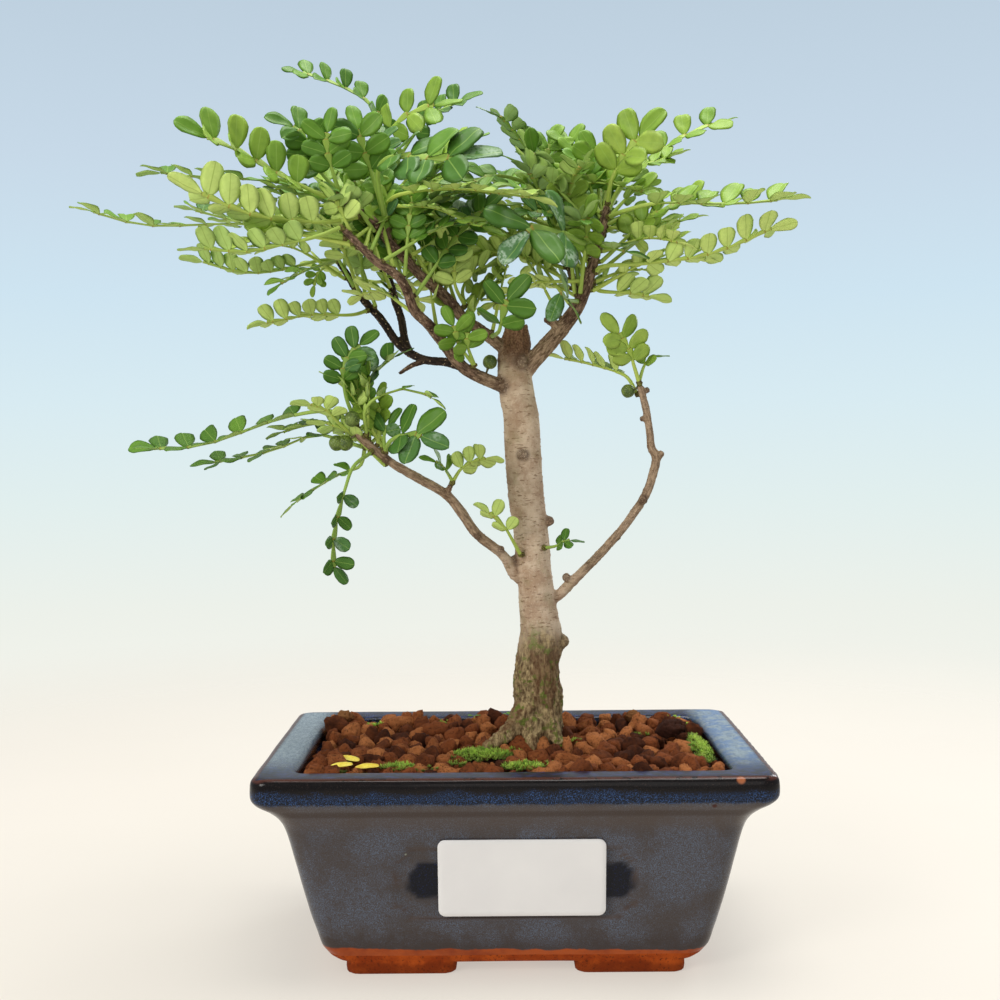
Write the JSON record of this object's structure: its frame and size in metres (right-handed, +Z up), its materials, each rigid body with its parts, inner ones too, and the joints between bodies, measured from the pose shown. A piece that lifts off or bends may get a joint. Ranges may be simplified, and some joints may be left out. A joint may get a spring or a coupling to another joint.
{
  "type": "chinese pepper bonsai",
  "caption": "Small upright bonsai tree with compound leaves in an oblong glazed pot with soil, moss and a blank label.",
  "frame": {"origin": "under the middle of the whole object's box, on the surface that the pot's feet stand on", "axes": "+X to the right along the pot's long side, +Y away from the side with the label, +Z up the tree"},
  "size_m": [0.2332, 0.1174, 0.2872],
  "materials": {
    "glaze": "dark blue glossy glaze that breaks to brown at the edges, on bare orange clay at the base",
    "paper": "smooth white sticker",
    "screen": "dark moulded plastic mesh",
    "soil": "dark damp fired-clay soil",
    "clod": "matt brown porous clay clods",
    "stone": "pale rough stone",
    "moss": "short soft green moss",
    "yellow_leaf": "soft yellow fallen leaf",
    "bark": "pale grey-beige bark with fine cross lines, brown on the young limbs",
    "fruit": "green pitted berry skin",
    "leaf": "glossy green leaflets with paler undersides"
  },
  "bodies": {
    "root": {"pot": "glaze", "label": "paper", "drain_screen_left": "screen", "drain_screen_right": "screen", "soil_bed": "soil", "clod_dressing": "clod", "tan_clod": "clod", "round_clod": "clod", "pale_stone": "stone", "moss_middle": "moss", "moss_front": "moss", "moss_left": "moss", "moss_right": "moss", "fallen_leaflet_left": "yellow_leaf", "fallen_leaflet_middle": "yellow_leaf", "fallen_leaflet_right": "yellow_leaf", "seedling_left": "leaf", "seedling_right": "leaf", "trunk_and_branches": "bark", "fruit_left_upper": "fruit", "fruit_left_twin": "fruit", "fruit_trunk": "fruit", "fruit_right": "fruit", "leaves_upper_tip_front": "leaf", "leaf_upper_left_ovals": "leaf", "leaf_upper_left_edge": "leaf", "leaf_upper_left_pale": "leaf", "leaves_front_yellow": "leaf", "leaves_front_glossy": "leaf", "leaf_lower_tip_shelf": "leaf", "leaves_lower_tip_long": "leaf", "leaves_back_left": "leaf", "leaf_back_left_low": "leaf", "leaves_low_branch_upright": "leaf", "leaves_low_branch_long": "leaf", "leaf_low_branch_arch": "leaf", "leaves_low_branch_shelf": "leaf", "leaf_low_branch_hanging": "leaf", "leaves_low_branch_front": "leaf", "leaves_spur": "leaf", "sprout_trunk_left": "leaf", "sprout_trunk_right": "leaf", "leaves_whip_tip": "leaf", "leaf_whip_side": "leaf", "leaf_right_upright": "leaf", "leaves_right_top": "leaf", "leaf_right_long": "leaf", "leaves_right_middle": "leaf", "leaf_right_shelf": "leaf", "leaves_right_low": "leaf", "leaves_front_big": "leaf", "leaf_stump_front": "leaf", "leaf_right_front_low": "leaf", "leaves_middle_shoot": "leaf", "leaves_back_top": "leaf", "leaves_upper_middle": "leaf", "leaves_lower_middle": "leaf", "leaves_back_low": "leaf", "leaves_back_high": "leaf", "leaves_middle_back": "leaf"}
  },
  "joints": []
}
